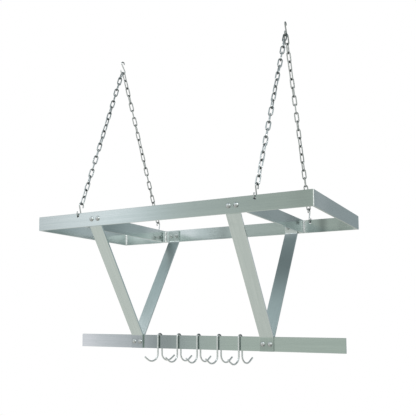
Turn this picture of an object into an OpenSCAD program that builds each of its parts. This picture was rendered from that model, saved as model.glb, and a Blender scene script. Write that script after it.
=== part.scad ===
// Hanging pot rack: a welded frame of flat bar on four chains, four bent straps down to one
// lower bar on edge, and five double-prong wire hooks that slide along that bar.
// Millimetres. X runs along the rack, Y away from the viewer, Z up. The origin is midway
// between the two places where the ceiling carries the rack: the inside tops of the top hooks.

/* [Bar stock] */
// Height of every flat bar
bar_w = 50.8; // [44:0.1:64]
// Thickness of every flat bar
bar_t = 6.35; // [5:0.05:8]

/* [Frame] */
// Length of the frame, outside
frame_l = 1066.8; // [960:0.1:1300]
// Depth of the frame, outside
frame_d = 558.8; // [500:0.1:660]

/* [Lower bar] */
// How far the lower bar sticks out past each end of the frame
lower_over = 12.7; // [0:0.1:60]
// Clear height between the frame's bottom edge and the lower bar's top edge
lower_drop = 393.7; // [320:0.1:480]

/* [Chains] */
// Links in each chain
links = 21; // [11:1:31]
// Wire of the chain links and of the small hooks in the frame
link_wire = 4.8; // [4:0.1:5.4]
// Inside length of a link
link_in = 31; // [29:0.1:36]

/* [Pot hooks] */
// Wire of the pot hooks
hook_wire = 6.35; // [5:0.05:7]
// Distance between neighbouring pot hooks
hook_pitch = 84.5; // [76:0.1:90]

/* [Hidden] */
$fn = 96;

// The four corners of the rack, in the order left front, left back, right front, right back
side_of = [-1, -1, 1, 1];
face_of = [-1, 1, -1, 1];

// Gap left between pieces that touch on different bodies
rest_gap = 0.3;
// Play between a bolt's thread and its nut
thread_gap = 0.05;

// Frame
strap_x_share = 0.2531;
cross_x_share = 0.29762;
hole_x_share = 0.32434;
strap_x = frame_l * strap_x_share;
cross_x = frame_l * cross_x_share;
hole_x = frame_l * hole_x_share;
rail_y = frame_d / 2 - bar_t / 2;
inner_y = frame_d / 2 - bar_t;
lower_l = frame_l + 2 * lower_over;
corner_bead = bar_t * 0.6;
corner_round = bar_t * 0.25;
cross_bead = bar_t * 0.75;
bead_short = bar_t * 0.3;
arris = bar_t * 0.09;

// Hole in a rail for a frame hook
hole_r = link_wire;
hole_drop = bar_w * 0.217;

// Straps
tab_share = 0.93;
bend_in = bar_t;
bend_steps = 8;
strap_top_y = inner_y - bar_t / 2;
strap_low_y = bar_t;
strap_lean = atan((strap_top_y - strap_low_y) / lower_drop);
bend_mid = bend_in + bar_t / 2;
bend_reach = bend_mid * tan(strap_lean / 2);

// Round-headed bolts, washers and nuts
bolt_r = bar_t * 0.625;
bolt_hole_r = bolt_r + rest_gap;
bolt_gap = bar_w * 0.53;
dome_r = bolt_r * 2.25;
dome_h = bolt_r * 1.25;
dome_rim = bolt_r * 0.2;
dome_ball_r = (dome_r ^ 2 + (dome_h - dome_rim) ^ 2) / 2 / (dome_h - dome_rim);
washer_r = bolt_r * 2.1;
washer_h = bolt_r * 0.35;
nut_across = bolt_r * 3.2;
nut_h = bolt_r * 1.7;
// How steeply the nut's corners are turned off, as width gained for each unit of depth
nut_slope = 1.6;
bolt_over = bolt_r * 0.7;

// S-shaped hooks: radius of each bight's wire, and the distance between the bights' middles
frame_hook_r = link_wire * 2.19;
frame_hook_c = link_wire * 7.125;
frame_hook_in = frame_hook_r - link_wire / 2;
frame_tip = 20;
top_wire = link_wire * 1.04;
top_low_r = top_wire * 2;
top_up_r = top_wire * 1.3;
top_c = top_wire * 6.7;
top_low_in = top_low_r - top_wire / 2;
top_up_in = top_up_r - top_wire / 2;
top_tip = 24;
left_turn = 70;
right_turn = 92;
turn_of = [left_turn, left_turn, right_turn, right_turn];
top_over_share = 0.0288;
top_x = hole_x * (1 + top_over_share);

// Links
link_r = (link_wire * 1.75 + link_wire) / 2;
link_straight = link_in + link_wire - 2 * link_r;
link_step = link_in - rest_gap;
// The upset where each link's wire ends are welded, on one side of the link
upset_d = link_wire * 1.14;
upset_l = link_wire * 0.7;
// Turn that each link adds to the quarter turn from the one below it
link_twist = [8, -10, -8.9, 9.1];

// A frame hook hangs a little below the web over its hole, because the chain leans
chain_rough = links * link_in + frame_hook_c + 2 * frame_hook_in;
lean_rough = asin(rail_y / chain_rough);
hook_seat = sqrt((frame_hook_in - rest_gap) ^ 2 - (cos(lean_rough) * bar_t / 2) ^ 2)
    - sin(lean_rough) * bar_t / 2;
first_link = hook_seat + frame_hook_c + frame_hook_in - rest_gap + link_in / 2;
chain_line = first_link + (links - 1) * link_step + link_in / 2 + link_wire / 2;

// Two links share a top hook's lower bight, side by side, each a little way up its own side.
// wire_off is the distance from the middle of the hook's wire to the middle of the link's.
wire_off = (top_wire + link_wire) / 2 + rest_gap;
side_angle = asin((link_wire + rest_gap) / 2 / (top_low_r - wire_off));
side_step = top_low_r * sin(side_angle);
low_bight_z = -top_up_in - top_c;

// A point on the wire's middle line, the wire's direction there, and the way out to the link
function seat_point(c) = [
    side_of[c] * top_x + face_of[c] * side_step * cos(turn_of[c]),
    face_of[c] * side_step * sin(turn_of[c]),
    low_bight_z - top_low_r * cos(side_angle)];
function seat_way(c) = [
    cos(turn_of[c]) * cos(side_angle),
    sin(turn_of[c]) * cos(side_angle),
    face_of[c] * sin(side_angle)];
lean_x = asin((top_x - hole_x) / chain_rough);
function rough_way(c) = [side_of[c] * sin(lean_x), -face_of[c] * sin(lean_rough), cos(lean_rough)];
function across(v, w) = (v - (v * w) * w) / norm(v - (v * w) * w);
function chain_high(c) = seat_point(c) + wire_off * across(rough_way(c), seat_way(c));
function drop(c) = sqrt(chain_line ^ 2 - (chain_high(c).x - side_of[c] * hole_x) ^ 2
    - (chain_high(c).y - face_of[c] * rail_y) ^ 2) - chain_high(c).z;
hole_top_z = -min([for (c = [0:3]) drop(c)]);

// Heights of the frame and of the lower bar
frame_top_z = hole_top_z + hole_drop - hole_r;
frame_low_z = frame_top_z - bar_w;
hole_z = frame_top_z - hole_drop;
lower_top_z = frame_low_z - lower_drop;
lower_low_z = lower_top_z - bar_w;

// Where each chain starts: under the top of its rail's hole
function chain_low(c) = [side_of[c] * hole_x, face_of[c] * rail_y, hole_top_z];
function chain_way(c) = chain_high(c) - chain_low(c);

// Pot hooks
leg_y = hook_wire * 1.482;
hook_turn = [67, 75, 77, 72, 75];
hook_shift = -2;
arch_drop = sqrt((leg_y - hook_wire / 2 - rest_gap) ^ 2 - (bar_t / 2 / sin(min(hook_turn))) ^ 2);
prong_r = hook_wire * 4.252;
prong_rise = atan(3 / 4);
prong_tip = hook_wire * 3.386;
prong_low = lower_drop * 0.2464;
leg_l = prong_low - prong_r - arch_drop;

// A stretch of round wire along an arc that starts at angle a1 and turns by sweep, in the XZ plane
module wire_arc(at_x, at_z, r, a1, sweep, d) {
    translate([at_x, 0, at_z])
        rotate([90, 0, 0])
            rotate([0, 0, a1])
                rotate_extrude(angle = sweep)
                    translate([r, 0])
                        circle(d = d);
}

// An open S of wire in the XZ plane. The lower bight's inside bottom is at height 0.
module s_hook(low_r, up_r, c, d, tip) {
    slant = asin((low_r + up_r) / c);
    spine = c * cos(slant);
    bend = 180 + slant + tip;
    translate([0, 0, low_r - d / 2])
        rotate([0, -slant, 0])
            translate([low_r, 0, 0]) {
                mirror([0, 0, 1])
                    wire_arc(-low_r, 0, low_r, 0, bend, d);
                cylinder(h = spine, d = d);
                translate([up_r, 0, spine])
                    mirror([1, 0, 0])
                        wire_arc(0, 0, up_r, 0, bend, d);
            }
}

module top_hook(side) {
    color("darkgray")
        translate([side * top_x, 0, -top_up_in - top_c - top_low_in])
            rotate([0, 0, side < 0 ? left_turn : right_turn])
                s_hook(top_low_r, top_up_r, top_c, top_wire, top_tip);
}

// One oval link in the XZ plane, centred
module link() {
    for (end = [0, 1])
        mirror([0, 0, end])
            wire_arc(0, link_straight / 2, link_r, 0, 180, link_wire);
    for (side = [-1, 1])
        translate([side * link_r, 0, 0])
            cylinder(h = link_straight, d = link_wire, center = true);
    translate([link_r, 0, 0])
        cylinder(h = upset_l, d = upset_d, center = true);
}

// Puts what follows on the line of chain c, with +Z up the chain
module on_chain(c) {
    way = chain_way(c);
    translate(chain_low(c))
        rotate([0, atan2(way.x, way.z), 0])
            rotate([-asin(way.y / norm(way)), 0, 0])
                children();
}

module chain_link(c, k) {
    on_chain(c)
        translate([0, 0, first_link + k * link_step])
            rotate([0, 0, k * (90 + link_twist[c])])
                link();
}

module chain(c) {
    color("dimgray")
        for (k = [0:links - 2])
            chain_link(c, k);
}

module top_link(c) {
    color("dimgray")
        chain_link(c, links - 1);
}

// The hook's tip is outside the frame and its spine inside it
module frame_hook(c) {
    color("darkgray")
        on_chain(c)
            translate([0, 0, hook_seat - frame_hook_in])
                rotate([0, 0, -face_of[c] * 90])
                    s_hook(frame_hook_r, frame_hook_r, frame_hook_c, link_wire, frame_tip);
}

// A length of flat bar along X, on edge, its bottom at height 0 and its long edges broken
module flat_bar(l) {
    side = bar_t / 2;
    translate([-l / 2, 0, 0])
        rotate([90, 0, 90])
            linear_extrude(l)
                polygon([
                    [-side + arris, 0], [side - arris, 0],
                    [side, arris], [side, bar_w - arris],
                    [side - arris, bar_w], [-side + arris, bar_w],
                    [-side, bar_w - arris], [-side, arris]]);
}

// A pair of bolt holes through a flat bar that stands in the XZ plane
module bolt_pair(r, at_z, from_y, to_y) {
    for (side = [-1, 1])
        translate([side * bolt_gap / 2, from_y, at_z])
            rotate([-90, 0, 0])
                cylinder(r = r, h = to_y - from_y);
}

module long_rail(face) {
    color("silver")
        translate([0, face * rail_y, frame_low_z])
            difference() {
                flat_bar(frame_l - 2 * bar_t);
                for (side = [-1, 1]) {
                    translate([side * strap_x, 0, 0])
                        bolt_pair(bolt_hole_r, bar_w / 2, -bar_t, bar_t);
                    translate([side * hole_x, bar_t, bar_w - hole_drop])
                        rotate([90, 0, 0])
                            cylinder(r = hole_r, h = 2 * bar_t);
                }
            }
}

module end_rail(side) {
    color("slategray")
        translate([side * (frame_l - bar_t) / 2, 0, frame_low_z])
            rotate([0, 0, 90])
                flat_bar(2 * inner_y);
}

module cross_bar(side) {
    color("slategray")
        translate([side * cross_x, 0, frame_low_z])
            rotate([0, 0, 90])
                flat_bar(2 * inner_y);
}

// A fillet bead that stands in the corner at the origin, between +X and +Y
module bead(leg) {
    translate([0, 0, bead_short])
        linear_extrude(bar_w - 2 * bead_short)
            polygon([[0, 0], [leg, 0], [leg * 0.62, leg * 0.62], [0, leg]]);
}

// The corner's filling, dressed flush with both rails, with its outer edge a little rounded
module corner_fill() {
    rounding = bar_t - corner_round;
    linear_extrude(bar_w)
        union() {
            square([bar_t, rounding]);
            square([rounding, bar_t]);
            intersection() {
                square(bar_t);
                translate([rounding, rounding])
                    circle(r = corner_round);
            }
        }
}

module corner_welds() {
    color("gainsboro")
        for (mx = [0, 1], my = [0, 1])
            mirror([mx, 0, 0])
                mirror([0, my, 0])
                    translate([frame_l / 2 - bar_t, inner_y, frame_low_z]) {
                        corner_fill();
                        rotate([0, 0, 180])
                            bead(corner_bead);
                    }
}

module cross_bar_welds() {
    color("gainsboro")
        for (side = [-1, 1], mx = [0, 1], my = [0, 1])
            translate([side * cross_x, 0, frame_low_z])
                mirror([mx, 0, 0])
                    mirror([0, my, 0])
                        translate([bar_t / 2, -inner_y, 0])
                            bead(cross_bead);
}

function bend_points(at_y, at_z, r, a1, a2) = [
    for (i = [0:bend_steps])
        let (a = a1 + (a2 - a1) * i / bend_steps)
            [at_y + r * cos(a), at_z + r * sin(a)]];

// The side outline of a front strap: a tab behind the rail, the slant, and a tab before the lower bar
module strap_outline() {
    up_y = -strap_top_y + bend_mid;
    up_z = frame_low_z + bend_reach;
    down_y = -strap_low_y - bend_mid;
    down_z = lower_top_z - bend_reach;
    wide = bend_in + bar_t;
    polygon(concat(
        [[up_y - wide, frame_low_z + bar_w * tab_share]],
        bend_points(up_y, up_z, wide, 180, 180 + strap_lean),
        bend_points(down_y, down_z, bend_in, strap_lean, 0),
        [[down_y + bend_in, lower_low_z], [down_y + wide, lower_low_z]],
        bend_points(down_y, down_z, wide, 0, strap_lean),
        bend_points(up_y, up_z, bend_in, 180 + strap_lean, 180),
        [[up_y - bend_in, frame_low_z + bar_w * tab_share]]));
}

module strap_body() {
    translate([-bar_w / 2, 0, 0])
        rotate([90, 0, 90])
            linear_extrude(bar_w)
                strap_outline();
}

module strap(c) {
    color("lightslategray")
        translate([side_of[c] * strap_x, 0, 0])
            mirror([0, face_of[c] > 0 ? 1 : 0, 0])
                difference() {
                    strap_body();
                    bolt_pair(bolt_hole_r, frame_low_z + bar_w / 2, -inner_y - bar_t, -inner_y + 2 * bar_t);
                    bolt_pair(bolt_hole_r, lower_low_z + bar_w / 2, -3 * bar_t, 0);
                }
}

module lower_bar() {
    color("lightslategray")
        translate([0, 0, lower_low_z])
            difference() {
                flat_bar(lower_l);
                for (side = [-1, 1])
                    translate([side * strap_x, 0, 0])
                        bolt_pair(bolt_hole_r, bar_w / 2, -bar_t, bar_t);
            }
}

// A round-headed bolt with its head above the grip and its shank down to just past the nut
module bolt(grip) {
    shank = grip + washer_h + nut_h + bolt_over;
    translate([0, 0, grip - shank])
        cylinder(r = bolt_r, h = shank + dome_rim / 2);
    translate([0, 0, grip])
        intersection() {
            cylinder(r = dome_r, h = dome_h);
            translate([0, 0, dome_h - dome_ball_r])
                sphere(r = dome_ball_r);
        }
}

module washer() {
    translate([0, 0, -washer_h])
        difference() {
            cylinder(r = washer_r, h = washer_h);
            translate([0, 0, -washer_h])
                cylinder(r = bolt_hole_r, h = 3 * washer_h);
        }
}

// A hexagon nut whose outer face has its corners turned off
module nut() {
    mirror([0, 0, 1])
        translate([0, 0, washer_h])
            difference() {
                intersection() {
                    rotate([0, 0, 30])
                        cylinder(r = nut_across / sqrt(3), h = nut_h, $fn = 6);
                    cylinder(r1 = nut_across / 2 + nut_h * nut_slope, r2 = nut_across / 2, h = nut_h);
                }
                translate([0, 0, -nut_h])
                    cylinder(r = bolt_r + thread_gap, h = 3 * nut_h);
            }
}

// Puts what follows at every bolt of the frame, with +Z out of the frame from the tab's inside face
module at_rail_bolts() {
    for (c = [0:3], s = [-1, 1])
        translate([side_of[c] * strap_x + s * bolt_gap / 2, face_of[c] * (inner_y - bar_t), 0])
            translate([0, 0, frame_low_z + bar_w / 2])
                rotate([-face_of[c] * 90, 0, 0])
                    children();
}

// The same at the lower bar, with +Z to the front from the rear tab's back face
module at_bar_bolts() {
    for (side = [-1, 1], s = [-1, 1])
        translate([side * strap_x + s * bolt_gap / 2, bar_t * 1.5, lower_low_z + bar_w / 2])
            rotate([90, 0, 0])
                children();
}

module rail_bolts() {
    color("lightgray")
        at_rail_bolts()
            bolt(2 * bar_t);
}

module rail_washers() {
    color("lightgray")
        at_rail_bolts()
            washer();
}

module rail_nuts() {
    color("whitesmoke")
        at_rail_bolts()
            nut();
}

module bar_bolts() {
    color("lightgray")
        at_bar_bolts()
            bolt(3 * bar_t);
}

module bar_washers() {
    color("lightgray")
        at_bar_bolts()
            washer();
}

module bar_nuts() {
    color("whitesmoke")
        at_bar_bolts()
            nut();
}

// A prong about the middle of its bend: the wire comes down to its left and ends in a rising tip
module prong() {
    difference() {
        rotate([0, -prong_rise, 0])
            wire_arc(0, 0, prong_r, 90, 180, hook_wire);
        translate([-2 * prong_r, -hook_wire, 0])
            cube([2 * prong_r, 2 * hook_wire, 2 * prong_r]);
    }
    rotate([0, -prong_rise, 0])
        translate([0, 0, -prong_r])
            rotate([0, 90, 0])
                cylinder(h = prong_tip, d = hook_wire);
}

// One wire bent into an arch over the bar, two legs, and a prong at the foot of each leg
module pot_hook(h) {
    color("gainsboro")
        translate([(h - 3) * hook_pitch + hook_shift, 0, lower_top_z - arch_drop])
            rotate([0, 0, hook_turn[h - 1]]) {
                wire_arc(0, 0, leg_y, 0, 180, hook_wire);
                for (turn = [0, 180])
                    rotate([0, 0, turn]) {
                        translate([leg_y, 0, -leg_l])
                            cylinder(h = leg_l, d = hook_wire);
                        translate([leg_y + prong_r, 0, -leg_l])
                            prong();
                    }
            }
}

top_hook(-1);  // top_hook_left
top_hook(1);  // top_hook_right
top_link(0);  // left_front_top_link
top_link(1);  // left_back_top_link
top_link(2);  // right_front_top_link
top_link(3);  // right_back_top_link
chain(0);  // left_front_chain
chain(1);  // left_back_chain
chain(2);  // right_front_chain
chain(3);  // right_back_chain
frame_hook(0);  // left_front_frame_hook
frame_hook(1);  // left_back_frame_hook
frame_hook(2);  // right_front_frame_hook
frame_hook(3);  // right_back_frame_hook
long_rail(-1);  // front_rail
long_rail(1);  // back_rail
end_rail(-1);  // left_end_rail
end_rail(1);  // right_end_rail
cross_bar(-1);  // left_cross_bar
cross_bar(1);  // right_cross_bar
corner_welds();
cross_bar_welds();
strap(0);  // left_front_strap
strap(1);  // left_back_strap
strap(2);  // right_front_strap
strap(3);  // right_back_strap
lower_bar();
rail_bolts();
rail_washers();
rail_nuts();
bar_bolts();
bar_washers();
bar_nuts();
pot_hook(1);  // pot_hook_1
pot_hook(2);  // pot_hook_2
pot_hook(3);  // pot_hook_3
pot_hook(4);  // pot_hook_4
pot_hook(5);  // pot_hook_5
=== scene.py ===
import logging
import math
from dataclasses import dataclass, field
from enum import Enum
from typing import Any

import bpy
import numpy as np
from mathutils import Matrix, Vector


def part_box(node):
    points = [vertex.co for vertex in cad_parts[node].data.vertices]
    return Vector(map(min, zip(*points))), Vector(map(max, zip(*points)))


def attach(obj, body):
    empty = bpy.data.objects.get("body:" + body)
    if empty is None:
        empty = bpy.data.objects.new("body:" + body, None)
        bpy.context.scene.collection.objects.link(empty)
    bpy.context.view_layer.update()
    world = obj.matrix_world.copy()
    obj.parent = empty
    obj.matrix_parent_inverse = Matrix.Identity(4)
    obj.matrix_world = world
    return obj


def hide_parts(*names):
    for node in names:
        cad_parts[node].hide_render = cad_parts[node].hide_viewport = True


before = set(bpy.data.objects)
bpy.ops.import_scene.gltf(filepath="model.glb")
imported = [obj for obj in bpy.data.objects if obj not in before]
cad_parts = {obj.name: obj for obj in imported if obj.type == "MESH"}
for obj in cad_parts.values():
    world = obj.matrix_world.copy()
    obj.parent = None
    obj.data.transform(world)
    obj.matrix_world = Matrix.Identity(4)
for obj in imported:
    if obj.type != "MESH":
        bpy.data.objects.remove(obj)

# Hanging pot rack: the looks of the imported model, in metres, in the model's own frame.
# X runs along the rack, Y away from the viewer, Z up.

LOG = logging.getLogger("pot_rack")
MM = 0.001
FRAME_PX = 416
SENSOR_MM = 36.0

Colour = tuple[float, float, float]
Point = tuple[float, float, float]
Mark = tuple[float, float, float]
CORNERS = ("left_front", "left_back", "right_front", "right_back")

# Slight tints of the studio cards
PLAIN: Colour = (1.00, 1.0, 1.00)
COOL: Colour = (1.02, 1.0, 1.05)
LILAC: Colour = (1.08, 1.0, 1.08)
BLUE: Colour = (0.96, 1.0, 1.04)
DEEP: Colour = (0.87, 1.0, 1.05)
GREY: Colour = (0.97, 1.0, 0.98)
GREEN: Colour = (0.96, 1.0, 0.92)
WARM: Colour = (1.04, 1.0, 0.955)


class Signal:
    """A number that varies over a surface: a node's output socket that takes Python's operators.

    Each operator adds one Math node to the same tree, so (1 - mask) * 0.3 + height is written as
    it reads. The reflected forms let a plain number stand on the left.
    """

    def __init__(self, recipe: "Recipe", socket: bpy.types.NodeSocket) -> None:
        """Wraps one output socket of the recipe's tree."""
        self.recipe = recipe
        self.socket = socket

    def _math(self, operation: str, *values: Any) -> "Signal":
        """Adds one Math node on the given values."""
        sockets = dict(enumerate(values))
        node = self.recipe.node("ShaderNodeMath", {"operation": operation}, sockets)
        return Signal(self.recipe, node.outputs[0])

    def __add__(self, other: Any) -> "Signal":
        """Sum."""
        return self._math("ADD", self, other)

    __radd__ = __add__

    def __sub__(self, other: Any) -> "Signal":
        """Difference."""
        return self._math("SUBTRACT", self, other)

    def __rsub__(self, other: Any) -> "Signal":
        """Difference from a plain number."""
        return self._math("SUBTRACT", other, self)

    def __mul__(self, other: Any) -> "Signal":
        """Product."""
        return self._math("MULTIPLY", self, other)

    __rmul__ = __mul__

    def __truediv__(self, other: Any) -> "Signal":
        """Quotient."""
        return self._math("DIVIDE", self, other)

    def __abs__(self) -> "Signal":
        """Distance from zero."""
        return self._math("ABSOLUTE", self)

    def least(self, other: Any) -> "Signal":
        """The smaller of the two."""
        return self._math("MINIMUM", self, other)

    def most(self, other: Any) -> "Signal":
        """The larger of the two."""
        return self._math("MAXIMUM", self, other)

    def fade(self, start: float, end: float) -> "Signal":
        """Goes smoothly from 0 at start to 1 at end.

        Args:
            start: the value at which the result is 0.
            end: the value at which the result is 1. It may be the smaller of the two.

        Returns:
            The signal from 0 to 1.
        """
        low, high = min(start, end), max(start, end)
        sockets = {"Value": self, "From Min": low, "From Max": high}
        settings = {"interpolation_type": "SMOOTHSTEP"}
        up = Signal(self.recipe, self.recipe.node("ShaderNodeMapRange", settings, sockets).outputs[0])
        return up if start < end else 1 - up


class Recipe:
    """A node tree being filled: every node comes from one method."""

    def __init__(self, tree: bpy.types.NodeTree) -> None:
        """Empties the tree and keeps it."""
        self.tree = tree
        tree.nodes.clear()

    def feed(self, socket: bpy.types.NodeSocket, value: Any) -> None:
        """Links a signal or a socket to an input, or sets the input's own value.

        Args:
            socket: the input.
            value: a Signal, an output socket, a number, or a colour or vector.
        """
        if isinstance(value, Signal):
            value = value.socket
        if isinstance(value, bpy.types.NodeSocket):
            self.tree.links.new(value, socket)
        elif socket.type == "RGBA" and len(value) == 3:
            socket.default_value = (*value, 1.0)
        else:
            socket.default_value = value

    def node(self, kind: str, settings: dict[str, Any] | None = None,
             sockets: dict[Any, Any] | None = None) -> bpy.types.Node:
        """Adds one node, with its settings first and then its sockets.

        Args:
            kind: the node's type name.
            settings: properties of the node. "stops" is a ramp's list of (place, colour).
            sockets: input name or number, and the value or link that it gets.

        Returns:
            The node.
        """
        node = self.tree.nodes.new(kind)
        for name, value in (settings or {}).items():
            if name == "stops":
                marks = node.color_ramp.elements
                while len(marks) < len(value):
                    marks.new(1.0)
                for mark, (place, colour) in zip(marks, value):
                    mark.position = place
                    mark.color = (*colour, 1.0)
            else:
                setattr(node, name, value)
        for name, value in (sockets or {}).items():
            self.feed(node.inputs[name], value)
        return node

    def place(self) -> bpy.types.NodeSocket:
        """Object coordinates, which on every piece are the rack's own metres."""
        return self.node("ShaderNodeTexCoord").outputs["Object"]

    def axes(self) -> list[Signal]:
        """The three Object coordinates as separate signals."""
        parts = self.node("ShaderNodeSeparateXYZ", None, {0: self.place()})
        return [Signal(self, out) for out in parts.outputs]

    def wear(self) -> Signal:
        """The wear and painted shade that a skin carries at each of its points, from 0 to 1."""
        node = self.node("ShaderNodeAttribute", {"attribute_type": "GEOMETRY", "attribute_name": "wear"})
        return Signal(self, node.outputs["Fac"])

    def cloud(self, grain: Point | float, detail: float = 2.0, rough: float = 0.5,
              shift: Point = (0.0, 0.0, 0.0)) -> Signal:
        """Noise from 0 to 1 whose blotches have the given size.

        Args:
            grain: the size of a blotch along X, Y and Z, or one size for all three, in metres.
            detail: how many finer layers are added.
            rough: how strong each finer layer is.
            shift: moves the pattern, so that two bars don't share one.

        Returns:
            The noise.
        """
        sizes = (grain,) * 3 if isinstance(grain, float) else grain
        scale = tuple(1.0 / size for size in sizes)
        spot = self.node("ShaderNodeMapping", None,
                         {"Vector": self.place(), "Scale": scale, "Location": shift})
        sockets = {"Vector": spot.outputs[0], "Scale": 1.0, "Detail": detail, "Roughness": rough}
        return Signal(self, self.node("ShaderNodeTexNoise", None, sockets).outputs["Fac"])

    def blend(self, first: Any, second: Any, share: Any) -> bpy.types.NodeSocket:
        """Mixes two colours.

        Args:
            first: the colour where share is 0.
            second: the colour where share is 1.
            share: a number or signal.

        Returns:
            The mixed colour.
        """
        settings = {"data_type": "RGBA", "clamp_factor": True}
        node = self.node("ShaderNodeMix", settings, {0: share, 6: first, 7: second})
        return node.outputs[2]

    def relief(self, height: Signal, strength: float, depth: float) -> bpy.types.NodeSocket:
        """The normal of a bump whose height goes from 0 to 1, where 1 stands for depth in metres."""
        sockets = {"Strength": strength, "Distance": depth, "Height": height}
        return self.node("ShaderNodeBump", None, sockets).outputs[0]

    def metal(self, **sockets: Any) -> None:
        """Ends the tree in a metal surface with these socket values or links."""
        named = {name.replace("_", " "): value for name, value in sockets.items()}
        shader = self.node("ShaderNodeBsdfPrincipled", None, {"Metallic": 1.0, **named})
        self.node("ShaderNodeOutputMaterial", None, {"Surface": shader.outputs[0]})


def material(name: str) -> tuple[bpy.types.Material, Recipe]:
    """Makes an empty material.

    Args:
        name: its name.

    Returns:
        The material and the recipe that fills it.
    """
    made = bpy.data.materials.new(name)
    made.use_nodes = True
    return made, Recipe(made.node_tree)


def shown(name: str, data: Any) -> bpy.types.Object:
    """Makes an object of a mesh, a camera or a lamp, and links it to the scene."""
    made = bpy.data.objects.new(name, data)
    bpy.context.scene.collection.objects.link(made)
    return made


class Grain(Enum):
    """The way a bar was brushed: the axis along which its streaks run."""

    ALONG_X = "x"
    ALONG_Y = "y"
    DOWN = "down"

    def stretch(self, long: float, fine: float) -> Point:
        """The size of a streak along each axis: long with the grain, fine across it.

        Args:
            long: a streak's length.
            fine: a streak's width.

        Returns:
            The sizes along X, Y and Z.
        """
        return {
            Grain.ALONG_X: (long, fine, fine),
            Grain.ALONG_Y: (fine, long, fine),
            Grain.DOWN: (fine, long, long),
        }[self]


@dataclass(frozen=True)
class BrushedBar:
    """Flat bar brushed along its length: streaks of three widths, a slow drift of tone along the
    bar, pale long edges that are a painted highlight, a pale dressed strip beside each weld, and
    soft marks (place, reach, depth) of painted reflection: painted shade, darker than the bar,
    where the depth is above 0, and painted highlight, paler, where it is below.

    hair, streak and band are each a streak's length and width, and lines says how much each of
    the three counts. inner is the axis and place of the face that the strips stay on.
    """

    name: str
    grain: Grain
    tone: Colour = (0.405, 0.470, 0.457)
    dull: Colour = (0.345, 0.408, 0.400)
    bright: Colour = (0.500, 0.560, 0.545)
    rough: float = 0.15
    contrast: float = 0.36
    hair: tuple[float, float] = (0.050, 0.0007)
    streak: tuple[float, float] = (0.180, 0.0026)
    band: tuple[float, float] = (0.600, 0.0100)
    lines: Point = (0.34, 0.38, 0.28)
    smear: Point = (0.05, 0.05, 0.03)
    smear_share: float = 0.35
    tone_fade: tuple[float, float] = (0.30, 0.72)
    smear_fade: tuple[float, float] = (0.56, 0.80)
    edge_axis: int = 2
    edges: tuple[float, float] = (0.0, 0.0)
    edge_w: float = 0.0009
    edge_tone: Colour = (0.500, 0.560, 0.545)
    edge_share: float = 0.2
    weld_axis: int = 0
    welds: tuple[float, ...] = ()
    dressed: Colour = (0.66, 0.70, 0.69)
    dressed_w: float = 0.013
    inner: tuple[int, float] | None = None
    inner_fade: tuple[float, float] = (0.0012, 0.0004)
    marks: tuple[Mark, ...] = ()
    mark_dark: float = 0.45
    least_rough: float = 0.08
    bump: tuple[float, float] = (0.30, 0.00030)
    shift: Point = (0.0, 0.0, 0.0)

    def build(self) -> bpy.types.Material:
        """Makes the material.

        Returns:
            The material. The lines are the weighted sum of the streaks, tone goes from dull to
            bright with them, and roughness falls where they are bright.
        """
        made, mix = material(self.name)
        hair = mix.cloud(self.grain.stretch(*self.hair), 3.0, 0.6, self.shift)
        streak = mix.cloud(self.grain.stretch(*self.streak), 2.0, 0.5, self.shift)
        band = mix.cloud(self.grain.stretch(*self.band), 1.0, 0.5, self.shift)
        smear = mix.cloud(self.smear, 3.0, 0.6, self.shift)
        lines = hair * self.lines[0] + streak * self.lines[1] + band * self.lines[2]
        colour = mix.blend(self.dull, self.bright, lines.fade(*self.tone_fade))
        colour = mix.blend(self.tone, colour, self.contrast)
        colour = mix.blend(colour, self.dull, smear.fade(*self.smear_fade) * self.smear_share)
        axes = mix.axes()
        # Painted highlight: a pale band along the long edges, where rounded edges would catch the light.
        across = axes[self.edge_axis]
        low, high = self.edges
        to_edge = (across - low).least(high - across)
        mask = to_edge.fade(self.edge_w, 0.0) * (self.edge_share + 0.5 * streak)
        colour = mix.blend(colour, self.edge_tone, mask)
        rough = self.rough + (0.5 - lines) * 0.16 + smear.fade(0.5, 0.8) * 0.04
        inside = 1.0
        if self.inner is not None:
            inside = abs(axes[self.inner[0]] - self.inner[1]).fade(*self.inner_fade)
        for at in self.welds:
            near = abs(axes[self.weld_axis] - at).fade(self.dressed_w, 0.3 * self.dressed_w)
            near = near * (0.35 + 0.9 * smear) * inside
            colour = mix.blend(colour, self.dressed, near)
            rough = rough + near * 0.10
        # Painted reflection: each mark paints shade in a darkened dull tone where its depth is above 0,
        # and a highlight in the dressed tone where it is below.
        for at, reach, depth in self.marks:
            near = abs(axes[self.weld_axis] - at).fade(reach, 0.0) * abs(depth)
            painted_tone = tuple(self.mark_dark * part for part in self.dull) if depth > 0 else self.dressed
            colour = mix.blend(colour, painted_tone, near)
        height = hair * 0.6 + streak * 0.4
        normal = mix.relief(height, *self.bump)
        mix.metal(Base_Color=colour, Roughness=rough.most(self.least_rough), Normal=normal)
        return made


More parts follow.
